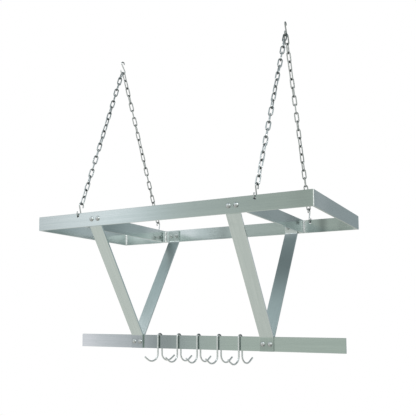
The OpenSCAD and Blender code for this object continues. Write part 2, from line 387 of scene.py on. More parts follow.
@dataclass(frozen=True)
class WeldMetal:
    """Weld metal: pale ripples with a few dull spots. Where it was ground flush with the bars, at
    wear 0, it has the bars' own tone and fine grinding lines."""

    name: str = "weld_metal"
    pale: Colour = (0.82, 0.85, 0.84)
    dull: Colour = (0.50, 0.53, 0.53)
    ground: Colour = (0.400, 0.465, 0.452)
    spot: float = 0.0016
    patch: float = 0.008
    line: Point = (0.030, 0.030, 0.0007)
    bump: tuple[float, float] = (0.30, 0.00025)

    def build(self) -> bpy.types.Material:
        """Makes the material: tone from two clouds, and the ground tone where the wear is 0."""
        made, mix = material(self.name)
        spots = mix.cloud(self.spot, 4.0, 0.6)
        broad = mix.cloud(self.patch, 2.0, 0.5)
        lines = mix.cloud(self.line, 3.0, 0.6)
        bare = mix.wear()
        colour = mix.blend(self.pale, self.dull, spots.fade(0.52, 0.78) * 0.6)
        colour = mix.blend(colour, self.dull, broad.fade(0.55, 0.85) * 0.4)
        colour = mix.blend(self.ground, colour, bare)
        rough = 0.17 + bare * (0.12 + spots * 0.16)
        normal = mix.relief(lines * (1 - bare) + spots * bare, *self.bump)
        mix.metal(Base_Color=colour, Roughness=rough, Normal=normal)
        return made


@dataclass(frozen=True)
class PlatedFastener:
    """Satin plating on bolts, washers and nuts, a little clouded, with painted shade below each row's
    middle.

    rows are the heights of the rows of bolts, and the shade's share is how much darker the painted shade
    makes it there.
    """

    rows: tuple[float, ...] = ()
    name: str = "plated_fastener"
    bright: Colour = (0.50, 0.53, 0.52)
    cloudy: Colour = (0.30, 0.33, 0.33)
    grimy: Colour = (0.15, 0.17, 0.17)
    head: float = 6.0 * MM
    shade_share: float = 0.5
    patch: float = 0.004
    scuff: Point = (0.0009, 0.0030, 0.0009)
    bump: tuple[float, float] = (0.20, 0.00015)

    def build(self) -> bpy.types.Material:
        """Makes the material: a fine cloud of dull plating, small scuffs, and painted shade towards
        the bottom of each row."""
        made, mix = material(self.name)
        height = mix.axes()[2]
        cloudy = mix.cloud(self.patch, 4.0, 0.6)
        scuff = mix.cloud(self.scuff, 3.0, 0.7)
        colour = mix.blend(self.bright, self.cloudy, cloudy.fade(0.42, 0.75))
        # Painted shade: the lower side of each row of heads is darkened, where less light falls.
        for row in self.rows:
            drop = row - height
            underside_shade = drop.fade(-0.3 * self.head, self.head) * drop.fade(2.2 * self.head, 1.6 * self.head)
            colour = mix.blend(colour, self.grimy, underside_shade * self.shade_share)
        rough = 0.20 + cloudy * 0.14 + scuff.fade(0.55, 0.75) * 0.12
        normal = mix.relief(scuff, *self.bump)
        mix.metal(Base_Color=colour, Roughness=rough, Normal=normal)
        return made


@dataclass(frozen=True)
class DrawnWire:
    """Round wire, drawn and plated: cloudy plating with a fine grit, and painted shade where one
    wire bears on another, which is where the skin's wear and shade value is high."""

    name: str
    clean: Colour
    grimy: Colour
    rough: float
    cloud_size: float = 0.006
    clouding: float = 0.5
    contact: float = 0.9
    grit: float = 0.0007
    bump: tuple[float, float] = (0.20, 0.00018)

    def build(self) -> bpy.types.Material:
        """Makes the material: clean plating that clouds over in blotches and darkens with painted shade
        where the skin's value is high.
        """
        made, mix = material(self.name)
        blotch = mix.cloud(self.cloud_size, 4.0, 0.6)
        grit = mix.cloud(self.grit, 2.0, 0.5)
        clouded = tuple((2 * a + b) / 3 for a, b in zip(self.clean, self.grimy))
        colour = mix.blend(self.clean, clouded, blotch.fade(0.42, 0.70) * self.clouding)
        # Painted shade: darker and rougher where another wire or a bar bears on this one.
        contact_shade = (mix.wear() * (0.55 + 0.9 * blotch)).fade(0.08, 0.85)
        colour = mix.blend(colour, self.grimy, contact_shade * self.contact)
        rough = self.rough + blotch * 0.10 + grit * 0.05 + contact_shade * 0.12
        normal = mix.relief(grit * 0.5 + blotch * 0.5, *self.bump)
        mix.metal(Base_Color=colour, Roughness=rough, Normal=normal)
        return made


def dress(node: str, finish: bpy.types.Material) -> None:
    """Gives every material slot of a CAD node one finish, and leaves its mesh alone.

    Args:
        node: the CAD node's name.
        finish: the material.
    """
    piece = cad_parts[node]
    if not piece.data.materials:
        piece.data.materials.append(finish)
    for slot in piece.material_slots:
        slot.material = finish


@dataclass
class Skin:
    """A closed surface: its points (n, 3), its triangles (m, 3) and the wear and painted shade at each
    point (n).
    """

    points: np.ndarray
    faces: np.ndarray
    wear: np.ndarray

    @classmethod
    def from_rings(cls, rings: np.ndarray, wear: np.ndarray, looped: bool = False) -> "Skin":
        """Joins rings of points into one closed skin whose faces point outwards.

        Ring i is joined to ring i + 1 and each ring to itself. A looped skin joins its last ring
        to its first, and any other closes its two end rings to their own middles.

        Args:
            rings: the points, shaped (rings, points in a ring, 3).
            wear: the wear and painted shade at each point, shaped (rings, points in a ring).
            looped: whether the rings run round to where they began.

        Returns:
            The skin.
        """
        number, count, _ = rings.shape
        points, mask = rings.reshape(-1, 3), np.broadcast_to(wear, (number, count)).reshape(-1)
        ring, spot = np.meshgrid(np.arange(number - (not looped)), np.arange(count), indexing="ij")
        after = (ring + 1) % number * count
        a, b = ring * count + spot, ring * count + (spot + 1) % count
        c, d = after + (spot + 1) % count, after + spot
        faces = np.concatenate([np.stack(trio, -1).reshape(-1, 3) for trio in ((a, b, c), (a, c, d))])
        if not looped:
            turn = np.arange(count)
            step = (turn + 1) % count
            last = (number - 1) * count
            low = np.stack([np.full(count, number * count), step, turn], -1)
            high = np.stack([np.full(count, number * count + 1), last + turn, last + step], -1)
            faces = np.concatenate([faces, low, high])
            points = np.vstack([points, rings[0].mean(0), rings[-1].mean(0)])
            mask = np.append(mask, (mask[:count].mean(), mask[-count:].mean()))
        corners = points[faces]
        volume = np.einsum("ij,ij->i", corners[:, 0], np.cross(corners[:, 1], corners[:, 2])).sum()
        return cls(points, faces if volume > 0 else faces[:, ::-1], mask)

    def moved(self, turn: np.ndarray, to: np.ndarray) -> "Skin":
        """The skin turned by a 3 by 3 matrix about the origin and then carried to a point."""
        return Skin(self.points @ turn.T + to, self.faces, self.wear)

    def in_metres(self) -> "Skin":
        """The skin in metres, where it was in millimetres."""
        return Skin(self.points * MM, self.faces, self.wear)


def piece_of(name: str, skins: list[Skin], finish: bpy.types.Material, body: str,
             nodes: tuple[str, ...], crease: float = 180.0) -> bpy.types.Object:
    """Puts closed skins into one object that rides on a body and stands for CAD nodes.

    Args:
        name: the piece's name.
        skins: the skins, in metres.
        finish: its material.
        body: the CAD body that it rides on.
        nodes: the CAD nodes that it replaces.
        crease: the angle, in degrees, above which an edge stays sharp.

    Returns:
        The object, at the origin.
    """
    starts = np.cumsum([0] + [len(skin.points) for skin in skins])
    points = np.vstack([skin.points for skin in skins])
    faces = np.vstack([skin.faces + start for skin, start in zip(skins, starts)])
    mesh = bpy.data.meshes.new(name)
    mesh.from_pydata(points.tolist(), [], faces.tolist())
    mesh.polygons.foreach_set("use_smooth", np.ones(len(faces), bool))
    if crease < 180.0:
        mesh.set_sharp_from_angle(angle=math.radians(crease))
    mask = mesh.attributes.new("wear", "FLOAT", "POINT")
    mask.data.foreach_set("value", np.concatenate([skin.wear for skin in skins]).astype(np.float32))
    mesh.materials.append(finish)
    mesh.update()
    made = shown(name, mesh)
    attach(made, body)
    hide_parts(*nodes)
    return made


def turn_about(axis: str, degrees: float) -> np.ndarray:
    """The 3 by 3 matrix of a turn about X, Y or Z."""
    return np.array(Matrix.Rotation(math.radians(degrees), 3, axis))


def arc(middle: tuple[float, float], radius: float, start: float, sweep: float,
        count: int = 48) -> np.ndarray:
    """Points on an arc in the XZ plane: middle + radius * (cos a, sin a), where a runs from start
    by sweep degrees."""
    angle = np.radians(start + np.linspace(0.0, sweep, count))
    return np.stack([middle[0] + radius * np.cos(angle), middle[1] + radius * np.sin(angle)], -1)


@dataclass(frozen=True)
class BentWire:
    """A round wire bent in the XZ plane, in millimetres."""

    path: np.ndarray
    diameter: float
    around: int = 12
    spacing: float = 1.6
    tip_share: float = 0.32
    tip_rings: int = 5
    tip_least: float = 0.1
    look: float = 0.3

    def lengths(self) -> np.ndarray:
        """How far along the wire each point of the path is."""
        return np.append(0.0, np.cumsum(np.linalg.norm(np.diff(self.path, axis=0), axis=1)))

    def at(self, s: np.ndarray) -> np.ndarray:
        """The path's points at the distances s along it, held to its two ends."""
        along = self.lengths()
        return np.stack([np.interp(s, along, self.path[:, k]) for k in (0, 1)], -1)

    def skin(self, bearings: tuple[tuple[float, float], ...], reach: float) -> Skin:
        """Carries a circle along the path and rounds the two cut ends.

        A point of the skin is path(s) + r(s) * (cos b * side(s) + sin b * Y): side is the path's
        direction turned a quarter in the plane, and b goes once round. r(s) is the wire's radius,
        and within tip_share of the diameter from an end it follows a quarter ellipse down to
        tip_least. The direction is taken over look diameters to both sides. The painted shade
        where another piece bears is a bell curve of the distance from the nearest bearing point.

        Args:
            bearings: points on the path where another piece bears on the wire.
            reach: how far the painted shade spreads from them.

        Returns:
            The skin, in millimetres.
        """
        total, tip = self.lengths()[-1], self.diameter * self.tip_share
        ends = tip * (1 - np.cos(np.linspace(0, math.pi / 2, self.tip_rings)))
        middle = np.linspace(tip, total - tip, max(int(total / self.spacing), 8))
        s = np.unique(np.concatenate([ends, middle, total - ends]))
        spots = self.at(s)
        near = self.look * self.diameter
        ahead = self.at(s + near) - self.at(s - near)
        ahead /= np.linalg.norm(ahead, axis=1, keepdims=True)
        drop = np.clip(1 - np.minimum(s, total - s) / tip, 0, 1)
        radius = self.diameter / 2 * np.maximum(np.sqrt(1 - drop ** 2), self.tip_least)
        gap = np.min([np.linalg.norm(spots - np.array(point), axis=1) for point in bearings], axis=0)
        return self.rings(spots, ahead, radius, np.exp(-(gap / reach) ** 2), False)

    def rings(self, spots: np.ndarray, ahead: np.ndarray, radius: np.ndarray, wear: np.ndarray,
              looped: bool) -> Skin:
        """Stands a circle on each spot of the path, square to its direction.

        Args:
            spots: the path's points in the plane.
            ahead: the path's unit directions there.
            radius: the wire's radius there.
            wear: the wear and painted shade there.
            looped: whether the path closes on itself.

        Returns:
            The skin, in millimetres.
        """
        b = np.linspace(0, 2 * math.pi, self.around, endpoint=False)[None, :]
        side = np.stack([-ahead[:, 1], ahead[:, 0]], -1)
        out = radius[:, None] * np.cos(b)
        points = np.stack([spots[:, :1] + out * side[:, :1], radius[:, None] * np.sin(b),
                           spots[:, 1:] + out * side[:, 1:]], -1)
        return Skin.from_rings(points, wear[:, None] * np.ones_like(b), looped)


def box(node: str) -> tuple[np.ndarray, np.ndarray]:
    """A CAD node's lowest and highest corner as arrays."""
    low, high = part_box(node)
    return np.array(low), np.array(high)


@dataclass
class Frame:
    """The welded frame: two long rails, two end rails and two cross bars.

    rail_marks are for the front and back rail, end_marks for the left and right end rail and the
    left and right cross bar; they are painted reflection, painted shade where the depth is above 0
    and painted highlight where it is below. dressed_w is how wide the strips beside the front and
    back rail's welds are.
    """

    bar_t: float = 6.35 * MM
    rails: tuple[str, ...] = ("front_rail", "back_rail")
    ends: tuple[str, ...] = ("left_end_rail", "right_end_rail")
    crosses: tuple[str, ...] = ("left_cross_bar", "right_cross_bar")
    dressed_w: tuple[float, float] = (0.013, 0.020)
    rail_marks: tuple[tuple[Mark, ...], ...] = (
        ((0.500, 0.070, 0.12),),
        ((0.395, 0.030, 0.58), (0.470, 0.022, 0.12), (-0.030, 0.050, 0.35), (-0.190, 0.060, -0.20),
         (-0.470, 0.080, -0.95)))
    end_marks: tuple[tuple[Mark, ...], ...] = (
        ((0.010, 0.210, -0.60),), ((-0.213, 0.120, -0.28),),
        ((-0.160, 0.200, 0.45), (0.200, 0.130, -1.0)), ((-0.150, 0.120, 0.15), (0.150, 0.120, 0.42)))

    def dress(self) -> None:
        """Brushes each bar along its own length, with dressed strips beside the welds inside."""
        cross_at = [float(sum(box(name))[0]) / 2 for name in self.crosses]
        for number, name in enumerate(self.rails):
            low, high = box(name)
            sides = [at + side * self.bar_t / 2 for at in cross_at for side in (-1, 1)]
            welds = [low[0], high[0], *sides]
            inner = high[1] if number == 0 else low[1]
            dress(name, BrushedBar("brushed_" + name, Grain.ALONG_X, edges=(low[2], high[2]),
                                   welds=tuple(float(at) for at in welds), inner=(1, float(inner)),
                                   marks=self.rail_marks[number], dressed_w=self.dressed_w[number],
                                   shift=(number * 3.1, 0.0, 0.4)).build())
        for number, name in enumerate(self.ends + self.crosses):
            low, high = box(name)
            inner = None if number > 1 else (0, float((high, low)[number][0]))
            dress(name, BrushedBar("brushed_" + name, Grain.ALONG_Y, edges=(low[2], high[2]), weld_axis=1,
                                   welds=(float(low[1]), float(high[1])), inner=inner,
                                   marks=self.end_marks[number], shift=(0.7, number * 2.3, 1.9)).build())


@dataclass
class Welds:
    """The weld runs: a rippled bead inside each corner and beside each cross bar, and outside each
    corner a filling that is ground flush, with only its edge left round."""

    bar_t: float = 6.35 * MM
    inside_leg: float = 6.35 * 0.6 * MM
    cross_leg: float = 6.35 * 0.75 * MM
    short: float = 6.35 * 0.3 * MM
    round_r: float = 6.35 * 0.30 * MM
    wave: float = 0.14
    wave_pitch: float = 11.0 * MM
    pitch: float = 3.3 * MM
    ripple: float = 0.30 * MM
    crown: float = 0.10
    sink: float = 0.35 * MM
    lag: float = 0.42
    end_run: float = 0.6
    least_end: float = 0.02
    middle: float = 0.45
    step_in: float = 0.4 * MM
    rings_per_ripple: int = 7
    arc_points: int = 11
    filling_rings: int = 25
    round_points: int = 9
    corner_crease: float = 42.0
    joint_crease: float = 60.0

    def bead(self, corner: np.ndarray, turn: float, reach: float, low: float, high: float,
             start: float) -> Skin:
        """One bead up a corner.

        A point at angle a (0 to 90 degrees) and height z stands at distance r(a) * end(z) + ripple
        from the corner. r(a) is the straight line between the two legs, bulged by crown * sin(2a).
        end(z) rises from near 0 as a quarter ellipse over end_run of the first and last ripple.
        The ripple is a row of parabolas about middle, one each pitch, that lag in the middle of
        the bead like scales. The ring closes through a point sunk a little behind the corner.

        Args:
            corner: the corner's X and Y.
            turn: the angle from +X to the bead's first leg, in radians.
            reach: the bead's leg.
            low: its lowest Z.
            high: its highest Z.
            start: where in a ripple it starts, from 0 to 1.

        Returns:
            The bead's skin.
        """
        rings = int((high - low) / self.pitch * self.rings_per_ripple)
        z = np.linspace(low, high, rings)[:, None]
        angle = np.linspace(0.0, math.pi / 2, self.arc_points)[None, :]
        plain = reach / (np.cos(angle) + np.sin(angle)) * (1 + self.crown * np.sin(2 * angle))
        inset = np.minimum(z - low, high - z) / (self.pitch * self.end_run)
        end = np.sqrt(np.clip(1 - (1 - np.clip(inset, 0, 1)) ** 2, self.least_end, 1))
        lag = self.lag * np.sin(2 * angle)
        phase = np.mod((z - low) / self.pitch + start + lag, 1.0)
        scale = 1 - (2 * phase - 1) ** 2
        swell = self.ripple * (scale - self.middle) * np.sin(2 * angle) ** 0.5
        radius = plain * end + swell * end
        x = radius * np.cos(angle + turn) + corner[0]
        y = radius * np.sin(angle + turn) + corner[1]
        back = turn + math.pi / 4
        ring = np.stack([x, y, np.broadcast_to(z, x.shape)], -1)
        sunk = np.concatenate([np.full_like(z, corner[0] - self.sink * math.cos(back)),
                               np.full_like(z, corner[1] - self.sink * math.sin(back)), z], -1)
        rows = np.concatenate([ring, sunk[:, None, :]], 1)
        return Skin.from_rings(rows, np.ones(rows.shape[:2]))

    def filling(self, corner: np.ndarray, sides: tuple[int, int], low: float, high: float,
                start: float) -> Skin:
        """The outside of a corner, flush with both rails.

        Its section is the bar's square with the outer edge rounded. The rounding's radius swells
        and shrinks a little with height as a sine, as hand grinding leaves it, and only the
        rounding has a wear of 1.

        Args:
            corner: X and Y of the square's inner corner.
            sides: which way the square lies from there along X and Y.
            low: its lowest Z.
            high: its highest Z.
            start: where in its wave the rounding starts, from 0 to 1.

        Returns:
            The filling's skin.
        """
        z = np.linspace(low, high, self.filling_rings)[:, None]
        phase = 2 * math.pi * ((z - low) / self.wave_pitch + start)
        radius = self.round_r * (1 + self.wave * np.sin(phase))
        angle = np.linspace(0.0, math.pi / 2, self.round_points)[None, :]
        bend_u = self.bar_t - radius * (1 - np.cos(angle))
        bend_v = self.bar_t - radius * (1 - np.sin(angle))
        full, none = np.full_like(z, self.bar_t), np.zeros_like(z)
        flat = full - radius - self.step_in
        u = np.concatenate([none, full, full, bend_u, flat, none], 1)
        v = np.concatenate([none, none, flat, bend_v, full, full], 1)
        mask = np.concatenate([none, none, none, np.ones_like(bend_u), none, none], 1)
        x, y = corner[0] + sides[0] * u, corner[1] + sides[1] * v
        rows = np.stack([x, y, np.broadcast_to(z, u.shape)], -1)
        return Skin.from_rings(rows, mask)

    def build(self, finish: bpy.types.Material) -> None:
        """Makes the corners' and the cross bars' weld runs, and replaces their CAD nodes.

        Args:
            finish: the weld metal.
        """
        low, high = box("left_end_rail")
        frame_low, frame_high = low[2], high[2]
        half_l = box("right_end_rail")[1][0]
        inner = high[1]
        z0, z1 = frame_low + self.short, frame_high - self.short
        corners, joints = [], []
        for number, (sx, sy) in enumerate([(-1, -1), (-1, 1), (1, -1), (1, 1)]):
            spot = np.array([sx * (half_l - self.bar_t), sy * inner])
            back = math.atan2(-sy, -sx) - math.pi / 4
            corners.append(self.filling(spot, (sx, sy), frame_low, frame_high, 0.27 * number))
            corners.append(self.bead(spot, back, self.inside_leg, z0, z1, 0.31 * number))
        for bar in ("left_cross_bar", "right_cross_bar"):
            low, high = box(bar)
            for side, x in ((-1, low[0]), (1, high[0])):
                for face, y in ((1, low[1]), (-1, high[1])):
                    spot, out = np.array([x, y]), math.atan2(face, side) - math.pi / 4
                    joints.append(self.bead(spot, out, self.cross_leg, z0, z1, 0.5 + 0.2 * side))
        piece_of("corner_weld_runs", corners, finish, "rack", ("corner_welds",),
                 self.corner_crease)
        piece_of("cross_bar_weld_runs", joints, finish, "rack", ("cross_bar_welds",),
                 self.joint_crease)


@dataclass
class LowerRig:
    """Four bent straps and the lower bar that they carry.

    Every strap has a mark of painted shade at its lower tab, and the back ones have a painted
    highlight at the upper bend too. The straps' own marks and the lower bar's marks are painted
    reflection: painted shade where the depth is above 0, painted highlight where it is below.
    """

    straps: tuple[str, ...] = tuple(corner + "_strap" for corner in CORNERS)
    strap_rough: tuple[float, float] = (0.15, 0.30)
    strap_band: tuple[float, float] = (0.160, 0.0120)
    bar_rough: float = 0.17
    pale_edged: str = "right_front_strap"
    pale_edge_share: float = 0.9
    tab_reach: float = 34.0 * MM
    tab_depth: float = 0.20
    bend_reach: float = 8.0 * MM
    bend_depth: float = -0.9
    own_marks: tuple[tuple[Mark, ...], ...] = (
        (), ((-0.790, 0.050, -0.20), (-1.100, 0.120, -0.35)), ((-1.160, 0.026, 0.22),),
        ((-0.718, 0.036, -0.7), (-0.860, 0.150, 0.52)))
    bar_marks: tuple[Mark, ...] = ((-0.150, 0.130, 0.30), (-0.530, 0.110, -0.22))

    def dress(self) -> None:
        """Brushes the straps down their length and the lower bar along it."""
        bend = float(box("back_rail")[0][2])
        bar_low, bar_high = box("lower_bar")
        tab = float(bar_low[2] + bar_high[2]) / 2
        for number, name in enumerate(self.straps):
            low, high = box(name)
            back = number % 2
            bends = ((bend, self.bend_reach, self.bend_depth),) * back
            marks = ((tab, self.tab_reach, self.tab_depth), *bends, *self.own_marks[number])
            share, tone = BrushedBar.edge_share, BrushedBar.edge_tone
            # The right front strap's long edges get a stronger painted highlight, in the dressed tone.
            if name == self.pale_edged:
                share, tone = self.pale_edge_share, BrushedBar.dressed
            dress(name, BrushedBar("brushed_" + name, Grain.DOWN, edge_axis=0, edges=(low[0], high[0]),
                                   edge_share=share, edge_tone=tone, weld_axis=2,
                                   rough=self.strap_rough[back], band=self.strap_band, marks=marks,
                                   shift=(number * 1.7, 0.3, 0.0)).build())
        dress("lower_bar", BrushedBar("brushed_lower_bar", Grain.ALONG_X, edges=(bar_low[2], bar_high[2]),
                                      rough=self.bar_rough, marks=self.bar_marks,
                                      shift=(5.0, 0.0, 7.0)).build())


@dataclass
class Fasteners:
    """Round-headed bolts, washers and nuts at the straps."""

    nodes: tuple[str, ...] = ("rail_bolts", "rail_washers", "rail_nuts",
                              "bar_bolts", "bar_washers", "bar_nuts")
    nut_bright: Colour = (0.56, 0.60, 0.59)
    nut_cloudy: Colour = (0.36, 0.39, 0.39)

    def dress(self) -> None:
        """Plates the bolts, and the washers and nuts behind them a little paler and without the painted
        shade.
        """
        rows = tuple(float(sum(box(name))[2]) / 2 for name in ("rail_bolts", "bar_bolts"))
        heads = PlatedFastener(rows).build()
        nuts = PlatedFastener((), "plated_nut", self.nut_bright, self.nut_cloudy).build()
        for name in self.nodes:
            dress(name, heads if name.endswith("bolts") else nuts)


@dataclass
class Chains:
    """Four chains, the small hooks at their feet and the two hooks that carry them.

    All sizes are millimetres, and each step is the one that the solid part takes. A size whose
    name ends in _wires is in diameters of the chain's wire, and top_shares are the top hooks' two
    bends and the distance between them, in diameters of their own wire.
    """

    corners: tuple[str, ...] = CORNERS
    side_of: tuple[int, ...] = (-1, -1, 1, 1)
    face_of: tuple[int, ...] = (-1, 1, -1, 1)
    bodies: tuple[str, ...] = ("left_chains", "left_chains", "right_chains", "right_chains")
    bar_t: float = 6.35
    frame_l: float = 1066.8
    frame_d: float = 558.8
    hole_x_share: float = 0.32434
    top_over_share: float = 0.0288
    wire: float = 4.8
    foot_r_wires: float = 2.19
    foot_c_wires: float = 7.125
    top_wire_share: float = 1.04
    top_shares: Point = (2.0, 1.3, 6.7)
    link_r_wires: float = 1.375
    upset_d_wires: float = 1.14
    upset_l_wires: float = 0.7
    link_in: float = 31.0
    links: int = 21
    rest_gap: float = 0.3
    link_twist: tuple[float, ...] = (8.0, -10.0, -8.9, 9.1)
    top_turn: tuple[float, ...] = (70.0, 70.0, 92.0, 92.0)
    frame_tip: float = 20.0
    top_tip: float = 24.0
    around: int = 10
    hook_around: int = 14
    hook_spacing: float = 1.2
    contact_reach: float = 6.2
    crowding: float = 2.4
    upset_spread: float = 0.55
    upset_wear: float = 0.22

    def __post_init__(self) -> None:
        """Works out the hooks' and links' sizes, and where each chain starts and ends."""
        self.hole_x = self.frame_l * self.hole_x_share
        self.top_x = self.hole_x * (1 + self.top_over_share)
        self.rail_y = self.frame_d / 2 - self.bar_t / 2
        self.frame_r, self.frame_c = self.wire * self.foot_r_wires, self.wire * self.foot_c_wires
        self.top_wire = self.wire * self.top_wire_share
        self.low_r, self.up_r, self.top_c = (self.top_wire * share for share in self.top_shares)
        self.link_r = self.wire * self.link_r_wires
        self.straight = self.link_in + self.wire - 2 * self.link_r
        self.step = self.link_in - self.rest_gap
        self.upset_d, self.upset_l = self.wire * self.upset_d_wires, self.wire * self.upset_l_wires
        frame_in = self.frame_r - self.wire / 2
        rough = self.links * self.link_in + self.frame_c + 2 * frame_in
        lean = math.asin(self.rail_y / rough)
        seat = math.sqrt((frame_in - self.rest_gap) ** 2 - (math.cos(lean) * self.bar_t / 2) ** 2)
        seat -= math.sin(lean) * self.bar_t / 2
        self.hook_lift = seat - frame_in
        self.first = seat + self.frame_c + frame_in - self.rest_gap + self.link_in / 2
        line = self.first + (self.links - 1) * self.step + self.link_in / 2 + self.wire / 2
        off = (self.top_wire + self.wire) / 2 + self.rest_gap
        spread = math.asin((self.wire + self.rest_gap) / 2 / (self.low_r - off))
        self.low_z = -(self.up_r - self.top_wire / 2) - self.top_c
        lean_x = math.asin((self.top_x - self.hole_x) / rough)
        self.high = []
        for side, face, turn in zip(self.side_of, self.face_of, np.radians(self.top_turn)):
            seat_at = np.array([side * self.top_x + face * self.low_r * math.sin(spread) * math.cos(turn),
                                face * self.low_r * math.sin(spread) * math.sin(turn),
                                self.low_z - self.low_r * math.cos(spread)])
            way = np.array([math.cos(turn) * math.cos(spread), math.sin(turn) * math.cos(spread),
                            face * math.sin(spread)])
            rough_way = np.array([side * math.sin(lean_x), -face * math.sin(lean), math.cos(lean)])
            square = rough_way - (rough_way @ way) * way
            self.high.append(seat_at + off * square / np.linalg.norm(square))
        drops = []
        for high, side, face in zip(self.high, self.side_of, self.face_of):
            aside = math.hypot(high[0] - side * self.hole_x, high[1] - face * self.rail_y)
            drops.append(math.sqrt(line ** 2 - aside ** 2) - high[2])
        self.hole_top_z = -min(drops)

    def placed(self, skin: Skin, corner: int, turn: float, lift: float) -> Skin:
        """Puts a skin on a chain's line: turned about it, lifted along it, and in metres.

        Args:
            skin: the skin, in millimetres, with the chain's direction as +Z.
            corner: which chain.
            turn: the turn about the line, in degrees.
            lift: the distance along the line.

        Returns:
            The placed skin.
        """
        low = np.array([self.side_of[corner] * self.hole_x, self.face_of[corner] * self.rail_y,
                        self.hole_top_z])
        way = self.high[corner] - low
        lean = turn_about("Y", math.degrees(math.atan2(way[0], way[2])))
        lean = lean @ turn_about("X", -math.degrees(math.asin(way[1] / np.linalg.norm(way))))
        up = skin.moved(turn_about("Z", turn), np.array([0.0, 0.0, lift]))
        return up.moved(lean, low).in_metres()

    def link(self) -> Skin:
        """One oval link: a circle carried round two straights and two half circles.

        The wire swells as a bell curve where its ends were welded, at the middle of the straight
        on the +X side, and the points crowd together there. The wear and shade value is a bell curve
        of the distance from the inside of each end, which paints shade where the neighbours bear, and
        is slight on the weld.

        Returns:
            The skin, in millimetres.
        """
        half = self.straight / 2
        crowd = self.crowding
        swell = np.sinh(np.linspace(-crowd, crowd, 13)) / math.sinh(crowd) * half
        plain = np.linspace(half, -half, 6)[1:-1]
        spots = np.concatenate([np.stack([np.full_like(swell, self.link_r), swell], -1),
                                arc((0.0, half), self.link_r, 0, 180, 13)[1:],
                                np.stack([np.full_like(plain, -self.link_r), plain], -1),
                                arc((0.0, -half), self.link_r, 180, 180, 13)[:-1]])
        ahead = np.roll(spots, -1, 0) - np.roll(spots, 1, 0)
        ahead /= np.linalg.norm(ahead, axis=1, keepdims=True)
        bump = np.exp(-(spots[:, 1] / (self.upset_spread * self.upset_l)) ** 2)
        bump = bump * (spots[:, 0] > 0.9 * self.link_r)
        radius = self.wire / 2 + bump * (self.upset_d - self.wire) / 2
        # Painted shade where the neighbouring links bear, at both inner ends.
        end = np.hypot(spots[:, 0], np.abs(spots[:, 1]) - half - self.link_r)
        wear = np.exp(-(end / self.contact_reach) ** 2) + self.upset_wear * bump
        return BentWire(spots, self.wire, self.around).rings(spots, ahead, radius, wear, True)

    def s_hook(self, low_r: float, up_r: float, middles: float, wire: float, tip: float) -> Skin:
        """An open S of wire: a bight at each end of a straight spine, the upper one turned over.

        Args:
            low_r: the lower bight's radius, to the middle of the wire.
            up_r: the upper bight's radius.
            middles: the distance between the bights' middles.
            wire: the wire's diameter.
            tip: how far past a half turn each tip is bent, in degrees.

        Returns:
            The skin, in millimetres, with the lower bight's inside bottom at height 0.
        """
        slant = math.degrees(math.asin((low_r + up_r) / middles))
        spine = middles * math.cos(math.radians(slant))
        bend = 180 + slant + tip
        lower = arc((-low_r, 0.0), low_r, -bend, bend)
        upper = arc((up_r, spine), up_r, 180, -bend)
        path = np.vstack([lower, np.stack([np.zeros(9), np.linspace(0, spine, 11)[1:-1]], -1), upper])
        path = path + np.array([low_r, 0.0])
        cos, sin = math.cos(math.radians(slant)), math.sin(math.radians(slant))
        path = np.stack([path[:, 0] * cos - path[:, 1] * sin, path[:, 0] * sin + path[:, 1] * cos], -1)
        path[:, 1] += low_r - wire / 2
        # Painted shade at the lowest and highest points of the S, where other pieces bear on it.
        bearings = (tuple(path[path[:, 1].argmin()]), tuple(path[path[:, 1].argmax()]))
        bent = BentWire(path, wire, self.hook_around, self.hook_spacing)
        return bent.skin(bearings, self.contact_reach)

    def build(self, links_finish: list[bpy.types.Material], hook_finish: list[bpy.types.Material],
              top_finish: list[bpy.types.Material]) -> None:
        """Makes the links and hooks and replaces their CAD nodes.

        Args:
            links_finish: for the links, one per corner.
            hook_finish: for the small hooks, one per corner.
            top_finish: for the top hooks and the upper links below them, left and right.
        """
        link = self.link()
        foot = self.s_hook(self.frame_r, self.frame_r, self.frame_c, self.wire, self.frame_tip)
        for number, corner in enumerate(self.corners):
            turn = 90 + self.link_twist[number]
            links = [self.placed(link, number, k * turn, self.first + k * self.step)
                     for k in range(self.links)]
            body = self.bodies[number]
            piece_of(corner + "_links", links[:-1], links_finish[number], body,
                     (corner + "_chain",))
            piece_of(corner + "_upper_link", links[-1:], top_finish[number // 2], "top_links",
                     (corner + "_top_link",))
            hook = self.placed(foot, number, -self.face_of[number] * 90, self.hook_lift)
            piece_of(corner + "_small_hook", [hook], hook_finish[number], body,
                     (corner + "_frame_hook",))
        top = self.s_hook(self.low_r, self.up_r, self.top_c, self.top_wire, self.top_tip)
        for number, name in enumerate(("top_hook_left", "top_hook_right")):
            first = 2 * number
            at = np.array([self.side_of[first] * self.top_x, 0.0,
                           self.low_z - (self.low_r - self.top_wire / 2)])
            hung = top.moved(turn_about("Z", self.top_turn[first]), at).in_metres()
            piece_of(name + "_wire", [hung], top_finish[number], "top_hooks", (name,))


